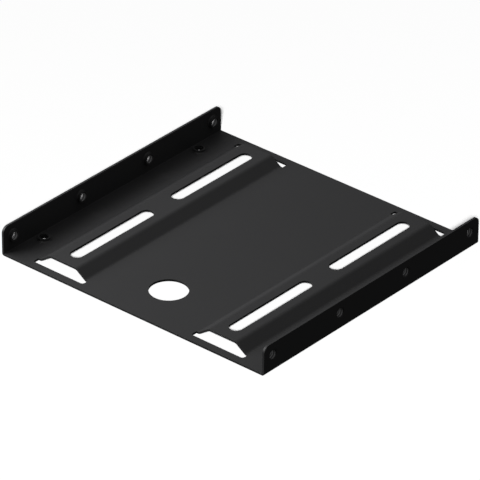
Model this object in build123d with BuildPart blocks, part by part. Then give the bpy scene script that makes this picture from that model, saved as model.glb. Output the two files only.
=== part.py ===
# Drive bay adapter bracket: one tray folded from steel sheet.
# Two side flanges stand up along its length and two broad ridges are pressed up from its floor.
# Millimetres, +Z up, +X across the tray, +Y from its front end to its back end.
# The origin is the middle of the tray on the surface that it rests on.

from build123d import *
from math import atan2, cos, radians, sin, tan
import os

# Outside of the tray
tray_width = 101.6
flange_height = 9.5
sheet = 0.7
fold_inner_radius = 0.1
flange_corner_radius = 2.0

# Hole pattern under a small drive, which the slots in the ridges follow
drive_holes_across = 61.72
drive_holes_along = 76.6
drive_screw_clearance = 1.85

# Ridges pressed up from the floor, one under each row of the drive's holes
ridge_top_width = 10.5
ridge_rise = 2.65
ridge_slope_run = 3.8
ridge_bend_inner_radius = 1.5
ridge_margin = 2.8

# Slots in the tops of the ridges: two in a row, with a bridge of sheet left between them
slot_width = 4.4
slot_bridge = 9.8
slot_end_margin = 3.9

# Cuts across both ends of each ridge, which leave a strip of floor at the tray's ends
end_cut_width = 2.4
end_cut_length = 19.6
end_cut_corner_radius = 0.9
end_strip = 2.55

# Round opening in the floor near the front end
opening_diameter = 12.0
opening_from_front = 16.75

# Drawn holes in the flanges and in the floor beside them
side_hole_pitch = 30.0
side_hole_count = 4
side_hole_height = 5.5
side_hole_end_margin = 4.0
floor_hole_side_margin = 4.0
floor_hole_end_margin = 14.0
screw_hole_radius = 1.37
collar_wall = 0.5
collar_rise = 1.0
collar_foot = 0.3
collar_mouth_radius = 0.4
collar_mouth_steps = 3

# The tray is as long as its slots and its side holes need
slot_outer_end = drive_holes_along / 2 + drive_screw_clearance
half_length_for_slots = slot_outer_end + slot_end_margin + end_cut_width + end_strip
half_length_for_side_holes = side_hole_pitch * (side_hole_count - 1) / 2 + side_hole_end_margin
half_length = max(half_length_for_slots, half_length_for_side_holes)
half_width = tray_width / 2

# Places and heights that follow from the values above
half_ridge_length = half_length - end_strip - end_cut_width
slot_length = slot_outer_end - slot_bridge / 2
slot_centre = slot_outer_end - slot_length / 2
floor_hole_x = half_width - floor_hole_side_margin
floor_hole_y = half_length - floor_hole_end_margin
collar_radius = screw_hole_radius + collar_wall
collar_height = sheet + collar_rise


def ridge_outline():
    """Cross-section of a ridge, a bent band of sheet, as corner points with their radii."""
    slope = atan2(ridge_rise, ridge_slope_run)
    shift = sheet * tan(slope / 2)
    top = ridge_top_width / 2
    foot = top + ridge_slope_run
    edge = foot + ridge_margin
    inner = ridge_bend_inner_radius
    outer = ridge_bend_inner_radius + sheet
    upper = [
        (edge, sheet, 0),
        (foot, sheet, inner),
        (top, sheet + ridge_rise, outer),
    ]
    lower = [
        (top - shift, ridge_rise, inner),
        (foot - shift, 0, outer),
        (edge, 0, 0),
    ]
    mirrored_upper = [(-x, z, r) for x, z, r in reversed(upper)]
    mirrored_lower = [(-x, z, r) for x, z, r in reversed(lower)]
    return upper + mirrored_upper + mirrored_lower + lower


def collar_outline():
    """Half section of a drawn hole's collar: radius outwards, height inwards from the outer face."""
    with BuildLine() as outline:
        Polyline(
            (collar_radius + collar_foot, sheet),
            (collar_radius + collar_foot, sheet / 2),
            (0, sheet / 2),
            (0, collar_height),
            (collar_radius, collar_height),
            (collar_radius, sheet + collar_foot),
            close=True,
        )
    return outline.line


def bore_outline():
    """Half section of what is open in a drawn hole: a mouth rounded in steps, then a bore."""
    mouth = screw_hole_radius + collar_mouth_radius
    rounding = []
    for step in range(collar_mouth_steps + 1):
        turn = radians(90 * step / collar_mouth_steps)
        radius = mouth - collar_mouth_radius * sin(turn)
        rounding.append((radius, collar_mouth_radius * (1 - cos(turn))))
    with BuildLine() as outline:
        Polyline(
            (mouth, -sheet),
            *rounding,
            (screw_hole_radius, collar_height + sheet),
            (0, collar_height + sheet),
            (0, -sheet),
            close=True,
        )
    return outline.line


def drawn_hole_places():
    """Planes of the drawn holes: origin on the outer face, +Y of the sketch pointing inwards."""
    places = []
    first = -side_hole_pitch * (side_hole_count - 1) / 2
    for side in (-1, 1):
        for number in range(side_hole_count):
            along = first + number * side_hole_pitch
            centre = (side * half_width, along, side_hole_height)
            places.append(Plane(origin=centre, x_dir=(0, 1, 0), z_dir=(0, 0, side)))
        for along in (-floor_hole_y, floor_hole_y):
            centre = (side * floor_hole_x, along, 0)
            places.append(Plane(origin=centre, x_dir=(1, 0, 0), z_dir=(0, -1, 0)))
    return places


with BuildPart() as bracket:
    # Folded tray: flat floor, both flanges and the rounded folds between them
    with BuildSketch(Plane.XZ) as fold:
        with Locations((0, flange_height / 2)):
            Rectangle(tray_width, flange_height)
        fillet(fold.vertices().group_by(Axis.Y)[0], fold_inner_radius + sheet)
        with Locations((0, sheet + flange_height / 2)):
            Rectangle(tray_width - 2 * sheet, flange_height, mode=Mode.SUBTRACT)
        fillet(fold.vertices().group_by(Axis.Y)[1], fold_inner_radius)
    extrude(amount=half_length, both=True)

    # Rounded upper corners of the flanges
    upper_corners = (
        bracket.edges()
        .filter_by(Axis.X)
        .filter_by(lambda edge: edge.center().Z > flange_height - sheet / 2)
    )
    fillet(upper_corners, flange_corner_radius)

    # Floor opened where each ridge and its end cuts come
    ridge_reach = ridge_top_width / 2 + ridge_slope_run + ridge_margin / 2
    for side in (-1, 1):
        with BuildSketch(Plane.XY) as ridge_place:
            with Locations((side * drive_holes_across / 2, 0)):
                Rectangle(2 * ridge_reach, 2 * half_ridge_length)
        extrude(amount=sheet, mode=Mode.SUBTRACT)
        with BuildSketch(Plane.XY) as end_cuts:
            for end in (-1, 1):
                with Locations((side * drive_holes_across / 2, end * half_ridge_length)):
                    RectangleRounded(end_cut_length, 2 * end_cut_width, end_cut_corner_radius)
        extrude(amount=sheet, mode=Mode.SUBTRACT)

    # Ridges
    for side in (-1, 1):
        with BuildSketch(Plane.XZ) as ridge:
            points = ridge_outline()
            with Locations((side * drive_holes_across / 2, 0)):
                Polygon(*[(x, z) for x, z, radius in points], align=None)
            for x, z, radius in points:
                if radius > 0:
                    corner = Vector(side * drive_holes_across / 2 + x, z)
                    fillet(ridge.vertices().sort_by_distance(corner)[0], radius)
        extrude(amount=half_ridge_length, both=True)

    # Slots through the tops of the ridges
    with BuildSketch(Plane.XY) as slots:
        with GridLocations(drive_holes_across, 2 * slot_centre, 2, 2):
            SlotOverall(slot_length, slot_width, rotation=90)
    extrude(amount=2 * ridge_rise + sheet, mode=Mode.SUBTRACT)

    # Round opening in the floor
    with BuildSketch(Plane.XY) as opening:
        with Locations((0, opening_from_front - half_length)):
            Circle(opening_diameter / 2)
    extrude(amount=2 * sheet, mode=Mode.SUBTRACT)

    # Collars of the drawn holes, which stand inwards, then the holes themselves
    for place in drawn_hole_places():
        with BuildSketch(place) as collar:
            make_face(collar_outline())
        revolve(axis=Axis(place.origin, place.y_dir))
    for place in drawn_hole_places():
        with BuildSketch(place) as bore:
            make_face(bore_outline())
        revolve(axis=Axis(place.origin, place.y_dir), mode=Mode.SUBTRACT)

bracket.part.label = "bracket"

os.makedirs("parts", exist_ok=True)
export_step(bracket.part, "parts/bracket.step")
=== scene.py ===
from math import cos, pi, radians, sin

import bpy
from mathutils import Matrix, Vector

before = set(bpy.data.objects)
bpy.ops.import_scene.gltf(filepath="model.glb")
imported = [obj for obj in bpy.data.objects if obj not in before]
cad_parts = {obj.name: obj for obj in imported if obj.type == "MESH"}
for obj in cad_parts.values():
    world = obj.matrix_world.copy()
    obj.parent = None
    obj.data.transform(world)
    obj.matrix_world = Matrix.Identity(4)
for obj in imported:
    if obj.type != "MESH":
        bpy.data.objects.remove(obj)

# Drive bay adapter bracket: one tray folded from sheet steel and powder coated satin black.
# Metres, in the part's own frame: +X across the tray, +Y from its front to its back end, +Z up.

MM = 0.001

# Satin black powder coat: a baked polyester film, whose index and roughness are typical ones
COAT_COLOUR = "#3a3a3b"
COAT_IOR = 1.5
COAT_ROUGHNESS = 0.5

# Gloss that drifts a little over the tray, where the film is thicker or thinner
GLOSS_PATCH_SPACING = 14.0 * MM
GLOSS_PATCH_DETAIL = 2.0
COAT_ROUGHNESS_SPREAD = 0.02

# Orange peel that the film dries with: shallow waves a little under a millimetre apart
PEEL_SPACING = 0.9 * MM
PEEL_DEPTH = 0.006 * MM
PEEL_DETAIL = 1.0

# Between these levels lies nearly all of a noise pattern
NOISE_LOW = 0.3
NOISE_HIGH = 0.7

# Edges of the cut sheet, rounded by the film, which is about as thick
COATED_EDGE_RADIUS = 0.06 * MM
COATED_EDGE_SAMPLES = 8

# Threads cut in the side and floor bores: 32 turns to the inch, the coarse No. 6 thread.
# Shade is how much darker a groove is painted, as painted shade for the shadow it would cast on
# itself, and dullness is added to the coat's roughness.
THREAD_PITCH = 25.4 / 32 * MM
THREAD_DEPTH = 0.2 * MM
THREAD_SHADE = 0.9
THREAD_DULLNESS = 0.45

# Where the bores are. All that lies within their reach of an axis is the wall of a bore.
BORE_REACH = 1.45 * MM
SIDE_BORE_PITCH = 30.0 * MM
SIDE_BORE_HEIGHT = 5.5 * MM
FLOOR_BORE_X = 46.8 * MM
FLOOR_BORE_Y = 35.0 * MM

# White card under the tray
CARD_COLOUR = "#fbfbfb"
CARD_REACH = 6.0
CARD_GAP = 0.05 * MM

# The dim studio's walls
WALL_COLOUR = "#ffffff"
WALL_LEVEL = 0.03

# Lamps: bearing from +X, height angle and distance, then width and height, then how bright the
# panel looks. One stands low on the left and a little in front of the tray, one hangs over it,
# and one far behind the camera lights the card.
TRAY_LAMP = (212.0, 32.0, 0.42)
TRAY_LAMP_SIZE = (0.44, 0.26)
TRAY_LAMP_LEVEL = 5.4
CEILING_LAMP = (0.0, 90.0, 0.8)
CEILING_LAMP_SIZE = (2.4, 2.4)
CEILING_LAMP_LEVEL = 0.2
CARD_LAMP = (-50.6, 31.0, 12.0)
CARD_LAMP_SIZE = (1.2, 1.2)
CARD_LAMP_LEVEL = 620.0

# Camera: a long lens from the front right. Its roll is in degrees, its lens and sensor are in
# millimetres, and it sees what lies between the two distances of its clip.
CAMERA_PLACE = (0.86337, -1.01322, 0.80061)
CAMERA_AIM = (0.00074, -0.00122, 0.004)
CAMERA_ROLL = 0.413
CAMERA_LENS = 393.5
CAMERA_SENSOR = 36.0
CAMERA_CLIP = (0.05, 50.0)

# The kind of node that compares, adds, multiplies and the like
MATH = "ShaderNodeMath"


def linear(code):
    """An sRGB hex colour as the linear RGBA that shaders take."""
    parts = [int(code[i:i + 2], 16) / 255 for i in (1, 3, 5)]
    return [p / 12.92 if p <= 0.04045 else ((p + 0.055) / 1.055) ** 2.4 for p in parts] + [1.0]


def node(tree, kind, settings=None, *in_order, **inputs):
    """Adds a node with its settings.

    Its inputs are values or sockets, given by name, or in order where they share a name.
    """
    made = tree.nodes.new(kind)
    for key, value in (settings or {}).items():
        setattr(made, key, value)
    named = [(key.replace("_", " "), value) for key, value in inputs.items()]
    for key, value in [*enumerate(in_order), *named]:
        socket = made.inputs[key]
        if isinstance(value, bpy.types.NodeSocket):
            tree.links.new(value, socket)
        else:
            socket.default_value = value
    return made


def empty_tree(owner):
    """Clears the node tree of a material or world and returns it."""
    owner.use_nodes = True
    owner.node_tree.nodes.clear()
    return owner.node_tree


def thread(tree, across, up, along):
    """A helical thread in a bore along one axis. across and up are measured from that axis.

    Gives 1 inside the bore and 0 elsewhere, and the height of the thread, from 0 to 1.
    """
    spoke = node(tree, "ShaderNodeCombineXYZ", X=across, Y=up).outputs["Vector"]
    away = node(tree, "ShaderNodeVectorMath", {"operation": "LENGTH"}, spoke).outputs["Value"]
    inside = node(tree, MATH, {"operation": "LESS_THAN"}, away, BORE_REACH).outputs[0]
    turn = node(tree, MATH, {"operation": "ARCTAN2"}, up, across).outputs[0]
    helix = node(
        tree, MATH, {"operation": "MULTIPLY_ADD"}, turn, THREAD_PITCH / (2 * pi), along
    ).outputs[0]
    rise = node(tree, MATH, {"operation": "PINGPONG"}, helix, THREAD_PITCH / 2).outputs[0]
    height = node(
        tree, "ShaderNodeMapRange", Value=rise, From_Min=0.0, From_Max=THREAD_PITCH / 2
    ).outputs["Result"]
    return inside, node(tree, MATH, {"operation": "MULTIPLY"}, height, inside).outputs[0]


def all_threads(tree, place):
    """The threads of all bores together: along X in the sides and along Z in the floor."""
    spot = node(tree, "ShaderNodeSeparateXYZ", Vector=place).outputs
    # The side bores repeat along Y, and the four floor bores mirror each other in X and Y
    lap = node(tree, MATH, {"operation": "WRAP"}, spot["Y"], SIDE_BORE_PITCH, 0.0).outputs[0]
    side_y = node(tree, MATH, {"operation": "SUBTRACT"}, lap, SIDE_BORE_PITCH / 2).outputs[0]
    side_z = node(tree, MATH, {"operation": "SUBTRACT"}, spot["Z"], SIDE_BORE_HEIGHT).outputs[0]
    out_x = node(tree, MATH, {"operation": "ABSOLUTE"}, spot["X"]).outputs[0]
    out_y = node(tree, MATH, {"operation": "ABSOLUTE"}, spot["Y"]).outputs[0]
    floor_x = node(tree, MATH, {"operation": "SUBTRACT"}, out_x, FLOOR_BORE_X).outputs[0]
    floor_y = node(tree, MATH, {"operation": "SUBTRACT"}, out_y, FLOOR_BORE_Y).outputs[0]
    in_sides = thread(tree, side_y, side_z, spot["X"])
    in_floor = thread(tree, floor_x, floor_y, spot["Z"])
    return [
        node(tree, MATH, {"operation": "ADD"}, side, floor).outputs[0]
        for side, floor in zip(in_sides, in_floor)
    ]


def satin_black_powder_coat():
    """Polyester powder, sprayed on steel and baked to a film.

    It gives the eye a dark charcoal with a soft, wide gloss, a faint orange peel in that gloss
    and edges rounded by the film. The threads are too fine to shade themselves in the render,
    so their shade is drawn in: duller and darker bores, darkest in the grooves.
    """
    material = bpy.data.materials.new("satin_black_powder_coat")
    tree = empty_tree(material)
    place = node(tree, "ShaderNodeTexCoord").outputs["Object"]
    patches = node(
        tree, "ShaderNodeTexNoise", Vector=place,
        Scale=1 / GLOSS_PATCH_SPACING, Detail=GLOSS_PATCH_DETAIL,
    )
    roughness = node(
        tree, "ShaderNodeMapRange", Value=patches.outputs["Fac"],
        From_Min=NOISE_LOW, From_Max=NOISE_HIGH,
        To_Min=COAT_ROUGHNESS - COAT_ROUGHNESS_SPREAD,
        To_Max=COAT_ROUGHNESS + COAT_ROUGHNESS_SPREAD,
    )
    peel = node(
        tree, "ShaderNodeTexNoise", Vector=place, Scale=1 / PEEL_SPACING, Detail=PEEL_DETAIL
    )
    edges = node(
        tree, "ShaderNodeBevel", {"samples": COATED_EDGE_SAMPLES}, Radius=COATED_EDGE_RADIUS
    )
    film = node(
        tree, "ShaderNodeBump", Height=peel.outputs["Fac"], Normal=edges.outputs["Normal"],
        Distance=PEEL_DEPTH,
    )
    bores, threads = all_threads(tree, place)
    surface = node(
        tree, "ShaderNodeBump", Height=threads, Normal=film.outputs["Normal"],
        Distance=THREAD_DEPTH,
    )
    # Painted shade: the coat's colour is darkened on the bores' walls, most in the grooves,
    # where the thread would shade itself
    grooves = node(tree, MATH, {"operation": "SUBTRACT"}, bores, threads).outputs[0]
    shade = node(
        tree, "ShaderNodeMapRange", Value=grooves, To_Min=1.0, To_Max=1.0 - THREAD_SHADE
    ).outputs["Result"]
    colour = node(
        tree, "ShaderNodeHueSaturation", Value=shade, Color=linear(COAT_COLOUR)
    ).outputs["Color"]
    dulled = node(
        tree, MATH, {"operation": "MULTIPLY_ADD"},
        bores, THREAD_DULLNESS, roughness.outputs["Result"],
    ).outputs[0]
    coat = node(
        tree, "ShaderNodeBsdfPrincipled", Base_Color=colour, Roughness=dulled,
        Normal=surface.outputs["Normal"], IOR=COAT_IOR, Metallic=0.0,
    )
    node(tree, "ShaderNodeOutputMaterial", Surface=coat.outputs["BSDF"])
    return material


def coat_tray(tray):
    """Gives every face of the tray the one coat that it is finished in."""
    tray.data.materials.clear()
    tray.data.materials.append(satin_black_powder_coat())
    for face in tray.data.polygons:
        face.material_index = 0


def white_card():
    """Matt, uncoated white card, big enough to have no edge in sight.

    It gives the eye an even white without gloss. It throws no light back at the dark coat.
    """
    material = bpy.data.materials.new("matt_white_card")
    tree = empty_tree(material)
    card = node(tree, "ShaderNodeBsdfDiffuse", Color=linear(CARD_COLOUR))
    node(tree, "ShaderNodeOutputMaterial", Surface=card.outputs["BSDF"])
    mesh = bpy.data.meshes.new("white_card")
    corners = [
        (x * CARD_REACH, y * CARD_REACH, 0) for x, y in ((-1, -1), (1, -1), (1, 1), (-1, 1))
    ]
    mesh.from_pydata(corners, [], [(0, 1, 2, 3)])
    mesh.materials.append(material)
    floor = bpy.data.objects.new("white_card", mesh)
    floor.location.z = -CARD_GAP
    floor.visible_diffuse = False
    floor.visible_glossy = False
    bpy.context.scene.collection.objects.link(floor)
    return floor


def studio_walls():
    """The studio's dim, neutral walls all around."""
    world = bpy.data.worlds.new("studio_walls")
    bpy.context.scene.world = world
    tree = empty_tree(world)
    walls = node(tree, "ShaderNodeBackground", Color=linear(WALL_COLOUR), Strength=WALL_LEVEL)
    node(tree, "ShaderNodeOutputWorld", Surface=walls.outputs["Background"])


def softbox(name, lit, bearing, rise, distance, width, height, level):
    """An even, soft lamp that faces the tray and lights one object only.

    Its power follows from its size and from the level, which is how bright its panel looks.
    """
    lamp = bpy.data.lights.new(name, "AREA")
    lamp.shape = "RECTANGLE"
    lamp.size = width
    lamp.size_y = height
    lamp.energy = level * pi * width * height
    holder = bpy.data.objects.new(name, lamp)
    turn, lift = radians(bearing), radians(rise)
    towards = Vector((cos(lift) * cos(turn), cos(lift) * sin(turn), sin(lift)))
    holder.location = distance * towards
    holder.rotation_mode = "QUATERNION"
    holder.rotation_quaternion = towards.to_track_quat("Z", "Y")
    bpy.context.scene.collection.objects.link(holder)
    receivers = bpy.data.collections.new(name + "_lights")
    receivers.objects.link(lit)
    holder.light_linking.receiver_collection = receivers


def camera():
    """The view of the photograph."""
    lens = bpy.data.cameras.new("camera")
    lens.lens = CAMERA_LENS
    lens.sensor_width = CAMERA_SENSOR
    lens.clip_start, lens.clip_end = CAMERA_CLIP
    holder = bpy.data.objects.new("camera", lens)
    place, aim = Vector(CAMERA_PLACE), Vector(CAMERA_AIM)
    look = (aim - place).to_track_quat("-Z", "Y").to_matrix().to_4x4()
    roll = Matrix.Rotation(radians(CAMERA_ROLL), 4, "Z")
    holder.matrix_world = Matrix.Translation(place) @ look @ roll
    bpy.context.scene.collection.objects.link(holder)
    bpy.context.scene.camera = holder


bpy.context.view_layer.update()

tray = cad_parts["bracket"]
coat_tray(tray)
card = white_card()
studio_walls()
softbox("tray_lamp", tray, *TRAY_LAMP, *TRAY_LAMP_SIZE, TRAY_LAMP_LEVEL)
softbox("ceiling_lamp", tray, *CEILING_LAMP, *CEILING_LAMP_SIZE, CEILING_LAMP_LEVEL)
softbox("card_lamp", card, *CARD_LAMP, *CARD_LAMP_SIZE, CARD_LAMP_LEVEL)
camera()
bpy.context.scene.view_settings.view_transform = "Standard"
